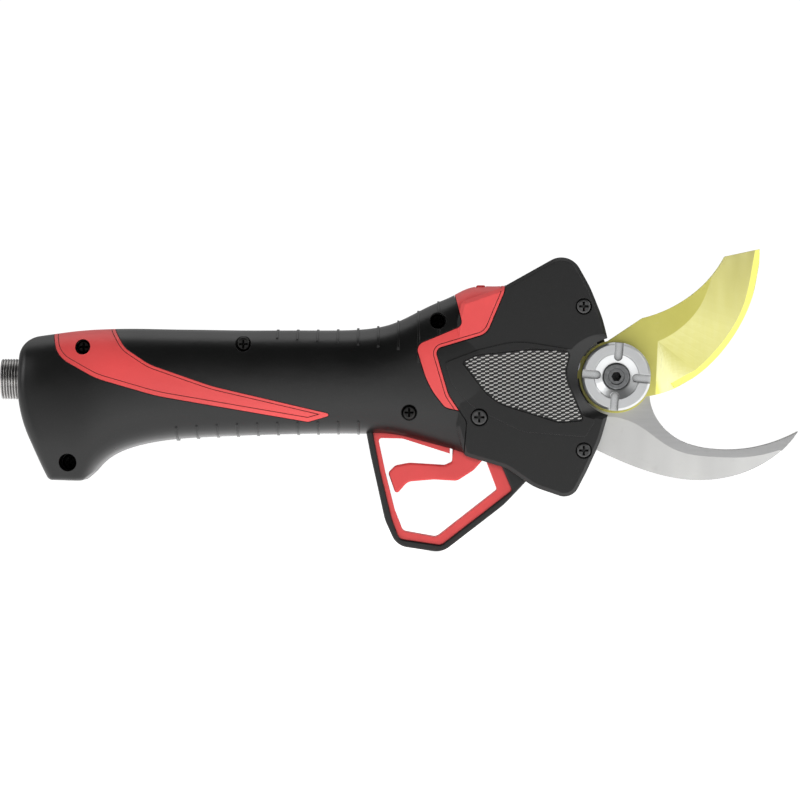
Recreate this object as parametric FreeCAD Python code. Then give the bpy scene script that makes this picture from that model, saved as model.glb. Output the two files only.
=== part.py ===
import FreeCAD, Part
import math
import os

V = FreeCAD.Vector

# Frame: origin on the blade pivot, +X to the blade tips, +Z up, +Y to the right-hand side.
WALL = 2.8            # moulded wall of the housing
SKIN = 1.5            # thickness of the red trim let into the housing
SEAM = 0.3            # visible gap between neighbouring mouldings
SPLIT = 0.05          # half of the gap between the two housing halves
AXIS_Z = -2.3         # height of the drive line
HEAD_HALF = 15.2      # half thickness of the head
HEAD_EDGE = 1.3       # bevel of the head's rim

# Cutting head, layers across Y.
BLADE_Y = (-5.5, -1.0)
HOOK_Y = (-0.9, 4.6)
FRAME_Y = (4.6, 8.6)
WASHER_Y = (-6.5, -5.6)
NUT_Y = (-13.0, -6.55)
BOLT_HEAD_Y = (8.65, 13.4)
LINK_Y = ((-7.6, -5.7), (-0.8, 1.1))
BOLT_R = 6.0
BUSH_R = 8.0
NUT_R = 12.4
BOSS_R = 13.25
FIT = 0.05            # radial running clearance

# Crank, link and push rod.
SWING = 60.0
CRANK_R = 17.5
CRANK_DEG = 165.0
CRANK_PIN_R = 1.9
LINK_LENGTH = 40.03
LINK_DEG = 10.99
CLEVIS_X = -57.23
CLEVIS_PIN_R = 1.8
OPEN_EYE_R = 3.25

# Drive line, stations along X.
MOTOR = (-184.0, -142.0)
MOTOR_R = 14.0
GEARBOX = (-129.0, -106.0)
GEARBOX_R = 14.5
SCREW_END = -68.6
SCREW_R = 4.0
ROD = (-98.0, -66.0)
ROD_R = 7.5

# Planetary gears.
MODULE = 0.5
SUN_TEETH = 12
PLANET_TEETH = 18
RING_TEETH = 48
PLANET_ORBIT = 7.5
GEARS = (-126.0, -118.0)

# Rear connector.
PLUG_Z = -0.9
PLUG_R = 7.4
PLUG_BORE = 6.0
PLUG_START = -223.5
PLUG_DEPTH = 9.0

# Screws of the housing halves: X, Z, head radius, height of the head top.
SHELL_SCREWS = (
    (-134.9, 11.7, 2.55, -13.7),
    (-192.9, 10.7, 2.50, -9.5),
    (-198.1, -31.0, 2.90, -6.0),
    (-64.6, 20.1, 2.70, -3.6),
    (-75.0, -13.0, 2.60, -14.9),
)
# Screws of the head covers: X, Z, head radius.
COVER_SCREWS = ((-49.7, -14.7, 3.0), (-12.0, 25.3, 2.76), (-12.0, -26.7, 2.76))

# Cross-sections of the grip: top X, top Z, bottom X, bottom Z, half width.
GRIP = (
    (-226.0, 12.0, -218.0, -44.0, 17.2),
    (-210.0, 14.8, -206.0, -42.5, 18.2),
    (-200.0, 16.1, -199.0, -42.5, 18.4),
    (-190.0, 17.0, -191.5, -38.4, 18.4),
    (-183.0, 17.3, -184.5, -30.0, 18.4),
    (-174.0, 17.4, -176.0, -25.8, 18.4),
    (-163.0, 17.2, -164.5, -23.3, 18.4),
    (-148.0, 17.0, -148.5, -22.0, 18.4),
    (-125.6, 16.8, -125.6, -21.1, 18.3),
    (-103.0, 16.8, -103.0, -20.7, 18.2),
    (-88.0, 17.6, -90.0, -20.8, 18.0),
    (-79.5, 19.8, -82.0, -21.2, 17.6),
    (-71.5, 23.7, -74.0, -22.9, 17.1),
    (-64.0, 27.2, -66.0, -25.2, 16.4),
    (-56.0, 31.0, -58.0, -27.6, 15.7),
    (-48.0, 32.9, -50.0, -30.2, 15.2),
    (-40.4, 33.1, -42.0, -31.6, 14.2),
    (-30.0, 33.6, -32.0, -33.0, 13.0),
)

# Side outlines: X, Z, corner radius.
REAR_TRIM = (
    (-196.0, 60.0, 0), (-197.0, 16.5, 0), (-216.0, 13.8, 8), (-216.8, -11.5, 50),
    (-205.6, -37.4, 2.5), (-193.4, -37.8, 3), (-184.0, -30.6, 0), (-184.0, -60.0, 0),
    (0.0, -60.0, 0), (0.0, 60.0, 0),
)
HEAD = (
    (-56.0, 27.0, 2), (-41.5, 32.1, 8), (-17.2, 45.7, 7.5), (-9.6, 32.2, 40),
    (-5.2, 21.2, 40), (-2.4, 10.0, 5), (-2.4, -11.0, 5), (-6.0, -23.5, 40),
    (-11.0, -34.4, 30), (-16.3, -44.6, 5.5), (-30.0, -39.9, 20), (-40.0, -33.0, 10),
    (-55.0, -28.6, 2), (-58.0, -18.0, 3), (-58.0, 18.0, 3),
)
COVER_ZONE = (
    (-40.2, 60.0, 0), (-40.2, 31.0, 8), (-46.8, 15.3, 6), (-65.4, 9.75, 2.2),
    (-60.6, -6.6, 8), (-54.1, -16.2, 3), (-55.2, -29.0, 0), (-56.0, -60.0, 0),
    (20.0, -60.0, 0), (20.0, 60.0, 0),
)
COLLAR_ZONE = (
    (-60.5, 38.0, 0), (-57.6, 26.8, 6), (-55.6, 18.3, 2.4), (-72.6, 11.2, 3),
    (-68.0, -3.6, 30), (-62.0, -11.2, 4), (-57.0, -12.3, 0.5), (-50.0, 0.0, 0),
    (-30.0, 20.0, 0), (-30.0, 38.0, 0),
)
FLASH_ZONE = (
    (-206.0, 24.0, 0), (-201.8, 7.2, 10), (-188.0, -0.6, 30), (-166.0, -7.0, 80),
    (-111.5, -16.4, 1.2), (-102.4, -13.8, 0.6), (-146.0, -3.6, 60), (-168.5, 4.2, 20),
    (-177.6, 10.2, 10), (-185.9, 24.0, 0),
)
PAD = (
    (-62.0, 5.0, 1), (-50.0, 9.6, 20), (-36.0, 12.9, 30), (-14.0, 9.3, 0.5),
    (-8.0, 0.0, 0), (-8.0, -16.0, 0), (-11.5, -21.8, 0.8), (-34.0, -20.0, 12),
    (-52.0, -11.2, 15), (-59.5, -3.0, 8),
)
BADGE = (
    (-56.0, 5.2, 1), (-51.0, 7.6, 4), (-30.0, 9.9, 12), (-16.8, 9.0, 1.5),
    (-18.9, 0.5, 12), (-12.0, -15.9, 1), (-21.0, -16.6, 6), (-45.0, -9.1, 20),
)
GUARD_OUT = (
    (-91.8, -14.0, 0), (-88.9, -29.0, 20), (-83.8, -52.0, 15), (-79.6, -61.4, 7),
    (-63.0, -63.9, 8), (-40.5, -46.5, 30), (-30.0, -35.4, 0), (-26.0, -30.0, 0),
    (-26.0, -14.0, 0),
)
GUARD_MID = (
    (-89.4, -14.0, 0), (-85.6, -34.0, 20), (-81.2, -52.0, 10), (-78.6, -58.9, 2.5),
    (-63.4, -61.2, 3), (-37.6, -41.3, 1), (-41.6, -32.0, 2), (-43.0, -14.0, 0),
)
GUARD_IN = (
    (-86.3, -22.3, 1.2), (-77.4, -22.5, 6), (-60.2, -28.0, 0), (-60.2, -14.0, 0),
    (-46.6, -14.0, 0), (-46.6, -31.5, 1.5), (-42.9, -41.2, 1), (-65.0, -58.4, 3),
    (-77.2, -56.2, 2), (-80.2, -48.5, 10), (-83.6, -35.0, 15),
)
TRIGGER = (
    (-82.6, -35.0, 1.2), (-80.1, -32.4, 3), (-74.9, -31.4, 8), (-62.0, -32.2, 2),
    (-59.3, -31.0, 1), (-59.0, -24.5, 2), (-50.0, -21.8, 3), (-46.2, -23.8, 3),
    (-46.6, -28.5, 3), (-51.5, -34.0, 5), (-57.5, -37.9, 4), (-66.0, -37.4, 10),
    (-75.5, -38.2, 4), (-79.6, -42.9, 1), (-80.4, -41.3, 1),
)
TRIGGER_PIVOT = (-50.0, -26.0)
FRAME_PLATE = (
    (-2.0, 33.0, 0), (-17.0, 33.0, 5), (-30.0, 16.0, 12), (-45.0, 8.0, 4),
    (-45.0, -10.8, 1), (-54.0, -10.8, 3), (-54.0, -19.0, 4), (-30.0, -24.0, 10),
    (-18.0, -34.0, 5), (-2.0, -34.0, 0),
)
HOOK_TAIL = (
    (-3.0, -6.0, 0), (-12.0, -11.0, 3), (-33.0, -13.5, 4), (-35.0, -22.5, 4),
    (-19.0, -35.0, 5), (-9.4, -30.4, 1), (-4.0, -24.0, 0),
)
CRANK_PIN = (
    CRANK_R * math.cos(math.radians(CRANK_DEG)),
    CRANK_R * math.sin(math.radians(CRANK_DEG)),
)


def rounded(points, grow=0.0):
    """Closed outline in the XZ plane with rounded corners, grown outwards by `grow`."""
    count = len(points)
    area = 0.0
    for i in range(count):
        x0, z0, _ = points[i]
        x1, z1, _ = points[(i + 1) % count]
        area += x0 * z1 - x1 * z0
    turn = 1 if area > 0 else -1
    sides = []
    for i in range(count):
        x0, z0, _ = points[i]
        x1, z1, _ = points[(i + 1) % count]
        along = V(x1 - x0, 0, z1 - z0).normalize()
        out = V(along.z * turn, 0, -along.x * turn)
        sides.append((V(x0, 0, z0) + out * grow, along))
    corners = []
    for i in range(count):
        a, u = sides[i - 1]
        b, w = sides[i]
        cross = u.x * w.z - u.z * w.x
        t = ((b.x - a.x) * w.z - (b.z - a.z) * w.x) / cross
        corners.append(a + u * t)
    ends = []
    for i in range(count):
        c = corners[i]
        u = (corners[i - 1] - c).normalize()
        w = (corners[(i + 1) % count] - c).normalize()
        angle = u.getAngle(w)
        convex = (u.x * w.z - u.z * w.x) * turn < 0
        r = points[i][2]
        if r > 0:
            r += grow if convex else -grow
        if r <= 0.05:
            ends.append((c, c, None))
            continue
        reach = r / math.tan(angle / 2)
        middle = c + (u + w).normalize() * (r / math.sin(angle / 2) - r)
        ends.append((c + u * reach, c + w * reach, middle))
    edges = []
    for i in range(count):
        start, end, middle = ends[i]
        if middle is not None:
            edges.append(Part.Arc(start, middle, end).toShape())
        following = ends[(i + 1) % count][0]
        if (following - end).Length > 1e-5:
            edges.append(Part.LineSegment(end, following).toShape())
    return Part.Wire(edges)


def outline(*stretches):
    """Closed outline in the XZ plane from straight and curved stretches."""
    edges = []
    for stretch in stretches:
        points = [V(x, 0, z) for x, z in stretch]
        if len(points) == 2:
            edges.append(Part.LineSegment(*points).toShape())
        else:
            curve = Part.BSplineCurve()
            curve.interpolate(points)
            edges.append(curve.toShape())
    return Part.Wire(edges)


def prism(wire, y0, y1):
    face = Part.Face(wire)
    face.translate(V(0, y0, 0))
    return face.extrude(V(0, y1 - y0, 0))


def plate(points, y0, y1, grow=0.0):
    return prism(rounded(points, grow), y0, y1)


def box(x0, x1, y0, y1, z0, z1):
    return Part.makeBox(x1 - x0, y1 - y0, z1 - z0, V(x0, y0, z0))


def rod_x(radius, x0, x1, y=0.0, z=AXIS_Z):
    return Part.makeCylinder(radius, x1 - x0, V(x0, y, z), V(1, 0, 0))


def rod_y(radius, x, z, y0, y1):
    return Part.makeCylinder(radius, y1 - y0, V(x, y0, z), V(0, 1, 0))


def rod_between(p, q, radius):
    return Part.makeCylinder(radius, (q - p).Length, p, q - p)


def tube_x(outer, inner, x0, x1, z=AXIS_Z):
    return rod_x(outer, x0, x1, z=z).cut(rod_x(inner, x0 - 1, x1 + 1, z=z))


def turned_y(profile):
    """Ring or disc about the pivot from a profile of radius and Y."""
    points = [V(r, y, 0) for r, y in profile]
    face = Part.Face(Part.makePolygon(points + [points[0]]))
    return face.revolve(V(0, 0, 0), V(0, 1, 0), 360)


def turned_x(profile, z):
    """Ring or disc about a line along X from a profile of X and radius."""
    points = [V(x, r, z) for x, r in profile]
    face = Part.Face(Part.makePolygon(points + [points[0]]))
    return face.revolve(V(0, 0, z), V(1, 0, 0), 360)


def capsule(p, q, radius, y0, y1):
    """Bar with round ends between two points of the XZ plane."""
    a = V(p[0], 0, p[1])
    b = V(q[0], 0, q[1])
    side = (b - a).normalize().cross(V(0, 1, 0)) * radius
    corners = [a + side, b + side, b - side, a - side]
    bar = prism(Part.makePolygon(corners + [corners[0]]), y0, y1)
    return bar.fuse([rod_y(radius, p[0], p[1], y0, y1), rod_y(radius, q[0], q[1], y0, y1)])


def hexagon_y(across, x, z, y0, y1):
    r = across / math.sqrt(3)
    corners = []
    for i in range(7):
        a = math.radians(60 * i)
        corners.append(V(x + r * math.cos(a), 0, z + r * math.sin(a)))
    return prism(Part.makePolygon(corners), y0, y1)


def mirrored(shape):
    return shape.mirror(V(0, 0, 0), V(0, 1, 0))


def save(name, *shapes):
    solids = []
    for shape in shapes:
        solids.extend(shape.Solids)
    whole = solids[0] if len(solids) == 1 else Part.makeCompound(solids)
    whole.exportStep("parts/" + name + ".step")
    box_ = whole.BoundBox
    print(name, len(solids), whole.isValid(), "%.0f mm3" % whole.Volume,
          "x %.1f %.1f y %.1f %.1f z %.1f %.1f"
          % (box_.XMin, box_.XMax, box_.YMin, box_.YMax, box_.ZMin, box_.ZMax))


# ---------------------------------------------------------------- housing

def grip_section(row, inset, power=2.7, count=24):
    """One closed section of the grip, drawn in from the outside by `inset`."""
    top = V(row[0], 0, row[1])
    bottom = V(row[2], 0, row[3])
    middle = (top + bottom) * 0.5
    up = (top - bottom).normalize()
    height = (top - bottom).Length / 2 - inset
    width = row[4] - inset
    points = []
    for i in range(count):
        a = 2 * math.pi * (i + 0.5) / count
        y = math.copysign(abs(math.cos(a)) ** (2 / power), math.cos(a)) * width
        z = math.copysign(abs(math.sin(a)) ** (2 / power), math.sin(a)) * height
        points.append(middle + up * z + V(0, y, 0))
    curve = Part.BSplineCurve()
    curve.interpolate(points, PeriodicFlag=True)
    return Part.Wire([curve.toShape()])


def envelope(inset):
    """Outside of the whole housing, drawn in by `inset`."""
    grip = Part.makeLoft([grip_section(row, inset) for row in GRIP], True, False)
    grip = grip.common(plate(REAR_TRIM, -40, 40, -inset))
    head = plate(HEAD, -HEAD_HALF + inset, HEAD_HALF - inset, -inset)
    if inset == 0:
        rear = [e for e in grip.Edges if e.CenterOfMass.x < -183 and abs(e.CenterOfMass.y) > 3]
        grip = grip.makeFillet(3.5, rear)
        rim = [e for e in head.Edges if abs(abs(e.CenterOfMass.y) - HEAD_HALF) < 1e-3]
        head = head.makeChamfer(HEAD_EDGE, rim)
    return grip.fuse(head)


def grip_ribs():
    """Fine raised ribs across the back of the grip and under it."""
    rows = [(-122.7 + 7.3 * i, 13.0 + 0.6 * i, 5.0, 40.0) for i in range(9)]
    rows += [(-159.1 + 7.3 * i, 14.5, -40.0, -12.0) for i in range(10)]
    return [grip_rib(*row) for row in rows]


def grip_rib(x, reach, low_z, high_z):
    """One rib round part of the grip's section at `x`."""
    rows = [r for r in GRIP if r[0] <= x]
    low = rows[-1]
    high = GRIP[len(rows)]
    t = (x - low[0]) / (high[0] - low[0])
    row = [a + (b - a) * t for a, b in zip(low, high)]
    row[2] = row[0]
    outer = Part.Face(grip_section(row, -0.35))
    inner = Part.Face(grip_section(row, 0.7))
    rib = outer.cut(inner)
    rib.translate(V(-0.4, 0, 0))
    rib = rib.extrude(V(0.8, 0, 0))
    return rib.common(box(x - 2, x + 2, -reach, reach, low_z, high_z))


def shell_features(half, inner):
    """Cradles for the drive line inside one handle half, left side."""
    slabs = []
    for x, radius in ((-176.0, MOTOR_R), (-150.0, MOTOR_R), (-125.0, GEARBOX_R),
                      (-111.0, GEARBOX_R), (-88.0, 10.0)):
        slab = box(x - 1.2, x + 1.2, -20, -SPLIT, -40, 30)
        slab = slab.common(inner).cut(rod_x(radius + 0.02, x - 2, x + 2))
        slabs.append(slab)
    return half.fuse(slabs)


def screw_boss(half, inner, row, left):
    """Boss and hole of one housing screw, in a half drawn on the low-Y side."""
    x, z, head, top = row
    boss = rod_y(2.9, x, z, -20, -SPLIT)
    if left:
        boss = boss.fuse(rod_y(head + 1.5, x, z, -20, top + 3.4))
    half = half.fuse(boss.common(inner))
    if left:
        half = half.cut(rod_y(head + 0.3, x, z, -25, top + 2.0))
        return half.cut(rod_y(1.6, x, z, -25, 1))
    return half.cut(rod_y(1.55, x, z, -9, 1))


def border(points, grow, width):
    """Narrow upright band that follows an outline at a distance of `grow`."""
    return plate(points, -40, 40, grow).cut(plate(points, -41, 41, grow - width))


def housing():
    outer = envelope(0)
    middle = envelope(SKIN)
    inner = envelope(WALL)
    left = box(-240, 20, -30, -SPLIT, -70, 60)
    outer_left = outer.common(left)
    wall_left = outer_left.cut(inner)
    cover_zone = plate(COVER_ZONE, -40, 40)
    cover_room = plate(COVER_ZONE, -40, 40, SEAM)
    raw_cover = wall_left.common(cover_zone)
    raw_handle = wall_left.cut(cover_room)
    skin = outer_left.cut(middle)
    crease = outer_left.cut(envelope(0.3))
    collar = skin.common(plate(COLLAR_ZONE, -40, 40)).cut(cover_room)
    collar = collar.cut(crease.common(border(COVER_ZONE, 1.5, 0.25)))
    flash = skin.common(plate(FLASH_ZONE, -40, 40))
    line = border(FLASH_ZONE, -1.2, 0.22)
    line.translate(V(0, 0, 0.3))
    flash = flash.cut(crease.common(line))
    pad = envelope(-0.5).cut(middle).common(left).common(plate(PAD, -40, 40))
    raw_cover = raw_cover.fuse(pad)
    for zone, gap in ((COLLAR_ZONE, SEAM), (FLASH_ZONE, 0.15)):
        raw_handle = raw_handle.cut(plate(zone, -40, 40, gap).cut(middle))
    raw_handle = shell_features(raw_handle, inner)
    return {
        "outer": outer, "inner": inner, "cover": raw_cover, "handle": raw_handle,
        "collar": collar, "flash": flash,
    }


def openings():
    """Holes shared by both housing halves."""
    button = box(-50.85, -46.95, -3.75, 3.75, 20, 40)
    slot = box(-61.5, -45.0, -6.0, 6.0, -40, -20.6)
    plug = rod_x(PLUG_R + 0.05, -226, -208, z=PLUG_Z)
    trigger_pin = rod_y(1.5, TRIGGER_PIVOT[0], TRIGGER_PIVOT[1], -12, 12)
    return [button, slot, plug, trigger_pin]


def handle_half(parts, ribs, left):
    """One handle half drawn on the low-Y side; the right one differs in its screw bosses."""
    half = parts["handle"]
    keep = box(-240, 20, -30, -SPLIT, -70, 60)
    clear = plate(COLLAR_ZONE, -40, 40, SEAM).fuse(plate(COVER_ZONE, -40, 40, SEAM))
    for rib in ribs:
        half = half.fuse(rib.common(keep).cut(clear))
    for row in SHELL_SCREWS:
        half = screw_boss(half, parts["inner"], row, left)
    for hole in openings():
        half = half.cut(hole)
    return half


def handle_halves(parts):
    ribs = grip_ribs()
    save("left_handle_shell", handle_half(parts, ribs, True))
    save("right_handle_shell", mirrored(handle_half(parts, ribs, False)))


def trims(parts):
    button = openings()[0]
    collar = parts["collar"].cut(button)
    save("left_collar_trim", collar)
    save("right_collar_trim", mirrored(collar))
    flash = parts["flash"]
    for x, z, head, top in SHELL_SCREWS:
        flash = flash.cut(rod_y(head + 0.3, x, z, -25, 0))
    save("left_side_flash", flash)
    save("right_side_flash", mirrored(parts["flash"]))


def head_covers(parts):
    base = parts["cover"].cut(box(-20, 5, -7.9, 8.9, -28.6, 14.0))
    base = base.cut(box(-20, 5, -7.9, 1.4, 13.9, 22.5))
    for hole in openings():
        base = base.cut(hole)
    base = base.cut(plate(BADGE, -20, -HEAD_HALF + 1.1, 0.15))
    for x, z, head in COVER_SCREWS:
        base = base.cut(rod_y(head + 0.25, x, z, -20, -13.4))
        base = base.cut(rod_y(1.6, x, z, -20, -10))
    low = Part.Wire([Part.makeCircle(14.2, V(0, -13.2, 0), V(0, 1, 0))])
    high = Part.Wire([Part.makeCircle(15.7, V(-6.5, -16.0, 0), V(0, 1, 0))])
    bowl = Part.makeLoft([low, high], True, True)
    left = base.cut(bowl).cut(rod_y(14.2, 0, 0, -16, -SPLIT))
    right = mirrored(base.cut(rod_y(12.75, 0, 0, -16, -7)))
    save("left_head_cover", left)
    save("right_head_cover", right)


def badges():
    badge = plate(BADGE, -HEAD_HALF - 0.25, -HEAD_HALF + 1.1, -0.1)
    save("left_badge_mesh", badge)
    save("right_badge_mesh", mirrored(badge))


def guards(parts):
    ring = plate(GUARD_OUT, -7.0, 7.0).cut(plate(GUARD_MID, -8, 8))
    rim = [e for e in ring.Edges if abs(abs(e.CenterOfMass.y) - 7.0) < 1e-3]
    rim = [e for e in rim if e.CenterOfMass.z < -22]
    ring = ring.makeFillet(0.6, rim)
    save("trigger_guard", ring.cut(parts["outer"]))
    liner = plate(GUARD_MID, -6.2, 6.2).cut(plate(GUARD_IN, -8, 8))
    save("guard_liner", liner.cut(parts["outer"]))


def cross_recess(x, z, y, size, depth):
    bars = [
        box(x - size, x + size, y, y + depth, z - size * 0.22, z + size * 0.22),
        box(x - size * 0.22, x + size * 0.22, y, y + depth, z - size, z + size),
    ]
    return bars[0].fuse(bars[1])


def pan_screw(x, z, head, top, height, shank, end):
    """Screw along Y with a rounded cross-recess head on the low-Y side."""
    body = rod_y(head, x, z, top, top + height)
    edges = [e for e in body.Edges if abs(e.CenterOfMass.y - top) < 1e-3 and e.Length > 5]
    body = body.makeFillet(height * 0.45, edges)
    body = body.fuse(rod_y(shank, x, z, top + height - 0.1, end))
    return body.cut(cross_recess(x, z, top - 0.1, head * 0.62, height * 0.92))


def screws():
    shell = []
    for x, z, head, top in SHELL_SCREWS:
        shell.append(pan_screw(x, z, head, top, 2.0, 1.5, 8.0))
    save("handle_screws", *shell)
    cover = []
    for x, z, head in COVER_SCREWS:
        cover.append(pan_screw(x, z, head, -15.1, 1.7, 1.25, -5.0))
    save("left_cover_screws", *cover)
    save("right_cover_screws", *[mirrored(s) for s in cover])


# ---------------------------------------------------------------- cutting head

def wedge(pairs, y_face, y_edge, over):
    """Sloping cut from a line on the face down to the edge, one section per pair."""
    sections = []
    for (bx, bz), (ex, ez) in pairs:
        inner = V(bx, y_face, bz)
        edge = V(ex, y_edge, ez)
        beyond = inner + (edge - inner) * over
        top = V(beyond.x, y_face - 1.5, beyond.z)
        back = V(bx, y_face - 1.5, bz)
        sections.append(Part.makePolygon([inner, beyond, top, back, inner]))
    return Part.makeLoft(sections, True, True)


def eased(pairs, count):
    """Pairs of points along two smooth curves through the given ones."""
    curves = []
    for side in range(2):
        curve = Part.BSplineCurve()
        curve.interpolate([V(pair[side][0], 0, pair[side][1]) for pair in pairs])
        curves.append(curve)
    out = []
    for i in range(count + 1):
        points = []
        for curve in curves:
            t = curve.FirstParameter + (curve.LastParameter - curve.FirstParameter) * i / count
            point = curve.value(t)
            points.append((point.x, point.z))
        out.append(tuple(points))
    return out


def near_edge(pairs, width):
    """The same pairs with the first point drawn up to `width` from the edge."""
    out = []
    for (bx, bz), (ex, ez) in pairs:
        share = width / math.hypot(bx - ex, bz - ez)
        out.append(((ex + (bx - ex) * share, ez + (bz - ez) * share), (ex, ez)))
    return out


def cutting_blade():
    shape = outline(
        ((-4.0, 6.0), (-3.0, 12.8)),
        ((-3.0, 12.8), (9.8, 21.3)),
        ((9.8, 21.3), (21.6, 25.8), (31.3, 32.7), (39.8, 43.7)),
        ((39.8, 43.7), (52.8, 46.5)),
        ((52.8, 46.5), (50.8, 31.0), (42.4, 13.5), (30.0, 0.5), (10.6, -7.3)),
        ((10.6, -7.3), (-4.0, 6.0)),
    )
    blade = prism(shape, *BLADE_Y)
    boss = rod_y(BOSS_R, 0, 0, *BLADE_Y)
    arm = capsule((0, 0), CRANK_PIN, 4.2, *BLADE_Y)
    blade = blade.fuse([boss, arm])
    heel = [((14.4, -9.0), (15.4, -10.0)), ((15.0, 4.0), (21.5, -4.2))]
    belly = eased((
        ((15.4, 12.8), (31.0, 1.2)), ((24.2, 18.1), (42.4, 13.5)),
        ((31.3, 26.5), (48.4, 24.2)), ((35.2, 37.0), (51.9, 38.5)),
        ((39.5, 49.0), (54.0, 50.0)),
    ), 16)
    blade = blade.cut(wedge(heel + belly, BLADE_Y[0], -2.6, 1.15))
    blade = blade.cut(wedge(near_edge(heel[1:] + belly, 2.2), -3.0, BLADE_Y[1] - 0.25, 1.6))
    blade = blade.cut(rod_y(BUSH_R, 0, 0, -7, 0))
    return blade.cut(rod_y(CRANK_PIN_R, CRANK_PIN[0], CRANK_PIN[1], -7, 0))


def fixed_hook():
    shape = outline(
        ((0.0, -6.0), (12.7, -6.7)),
        ((12.7, -6.7), (15.7, -15.8), (22.9, -22.6), (35.2, -26.2), (50.2, -25.8), (66.9, -20.0)),
        ((66.9, -20.0), (58.0, -29.4), (42.4, -36.5), (25.5, -37.5), (8.6, -33.3), (-6.4, -26.8)),
        ((-6.4, -26.8), (-6.0, -10.0)),
        ((-6.0, -10.0), (0.0, -6.0)),
    )
    hook = prism(shape, *HOOK_Y)
    room = plate(HEAD, *HOOK_Y, -WALL - 0.3).fuse(box(-20, 20, *HOOK_Y, -28.5, 13.9))
    tail = plate(HOOK_TAIL, *HOOK_Y).common(room)
    hook = hook.fuse([rod_y(12.3, 0, 0, *HOOK_Y), tail])
    relief = wedge(eased((
        ((-4.0, -14.6), (-12.0, -25.0)), ((2.1, -15.1), (1.0, -30.4)),
        ((8.6, -17.7), (9.0, -33.7)), ((15.1, -22.3), (17.0, -36.4)),
        ((21.6, -26.5), (25.5, -37.8)), ((35.2, -29.2), (38.0, -37.6)),
        ((50.2, -29.1), (51.5, -33.6)), ((60.0, -26.8), (61.5, -27.2)),
    ), 24), HOOK_Y[0], HOOK_Y[0] + 2.4, 1.3)
    hook = hook.cut(relief)
    hook = hook.cut(rod_y(BOLT_R + FIT, 0, 0, -2, 6))
    for x, z in ((COVER_SCREWS[2][0], COVER_SCREWS[2][1]), (-22.0, -19.5), (-30.0, -18.0)):
        radius = 3.15 if x == COVER_SCREWS[2][0] else 1.6
        hook = hook.cut(rod_y(radius, x, z, -2, 6))
    return hook


def head_frame():
    room = plate(HEAD, FRAME_Y[0], FRAME_Y[1], -WALL - 0.3)
    frame = plate(FRAME_PLATE, *FRAME_Y).common(room)
    frame = frame.fuse(rod_y(12.6, 0, 0, *FRAME_Y))
    frame = frame.fuse(box(-12, 0, FRAME_Y[0], FRAME_Y[1], -12, 12))
    post_room = plate(HEAD, -12.35, 12.35, -WALL - 0.1)
    for x, z, _ in COVER_SCREWS:
        post = rod_y(2.6, x, z, -12.35, 12.35).common(post_room)
        frame = frame.fuse(post)
    for x, z, _ in COVER_SCREWS:
        frame = frame.cut(rod_y(1.3, x, z, -20, 20))
    frame = frame.cut(rod_y(BOLT_R + FIT, 0, 0, 0, 20))
    for x, z in ((-22.0, -19.5), (-30.0, -18.0)):
        frame = frame.cut(rod_y(1.55, x, z, 0, 20))
    return frame


def hook_screws():
    out = []
    for x, z in ((-22.0, -19.5), (-30.0, -18.0)):
        out.append(pan_screw(x, z, 2.6, HOOK_Y[0] - 1.7, 1.7, 1.5, FRAME_Y[1]))
    return out


def pivot_nut():
    nut = turned_y([
        (4.75, NUT_Y[1]), (NUT_R, NUT_Y[1]), (NUT_R, NUT_Y[0] + 0.8), (NUT_R - 0.8, NUT_Y[0]),
        (8.3, NUT_Y[0]), (8.0, NUT_Y[0] + 0.5), (4.75, NUT_Y[0] + 1.9),
    ])
    for i in range(4):
        a = math.radians(85 + 90 * i)
        slot = box(7.2, 14.0, NUT_Y[0] - 1, NUT_Y[0] + 2.3, -1.5, 1.5)
        slot = slot.fuse(rod_y(1.5, 7.2, 0, NUT_Y[0] - 1, NUT_Y[0] + 2.3))
        slot.rotate(V(0, 0, 0), V(0, 1, 0), -math.degrees(a))
        nut = nut.cut(slot)
    return nut


def pivot_bolt():
    bolt = turned_y([
        (0, BOLT_HEAD_Y[1]), (9.6, BOLT_HEAD_Y[1]), (10.5, BOLT_HEAD_Y[1] - 0.9),
        (10.5, BOLT_HEAD_Y[0]), (BOLT_R, BOLT_HEAD_Y[0]), (BOLT_R, BLADE_Y[0] - 0.05),
        (4.65, BLADE_Y[0] - 0.05), (4.65, NUT_Y[0] + 1.4), (4.3, NUT_Y[0] + 1.1),
        (3.0, NUT_Y[0] + 1.1), (2.8, NUT_Y[0] + 1.7), (0, NUT_Y[0] + 1.7),
    ])
    bolt = bolt.cut(hexagon_y(3.2, 0, 0, NUT_Y[0] - 1, NUT_Y[0] + 9))
    return bolt.cut(hexagon_y(8.0, 0, 0, BOLT_HEAD_Y[1] - 3.5, BOLT_HEAD_Y[1] + 1))


def cutting_head():
    save("cutting_blade", cutting_blade())
    bush = rod_y(BUSH_R, 0, 0, *BLADE_Y).cut(rod_y(BOLT_R + FIT, 0, 0, -7, 0))
    save("blade_bush", bush)
    save("crank_pin", rod_y(CRANK_PIN_R, CRANK_PIN[0], CRANK_PIN[1], LINK_Y[0][0], LINK_Y[1][1]))
    save("fixed_hook", fixed_hook())
    save("head_frame", head_frame())
    save("hook_screws", *hook_screws())
    save("pivot_nut", pivot_nut())
    save("pivot_bolt", pivot_bolt())
    washer = rod_y(11.0, 0, 0, *WASHER_Y).cut(rod_y(4.8, 0, 0, -8, 0))
    save("thrust_washer", washer)


# ---------------------------------------------------------------- drive line

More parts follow.
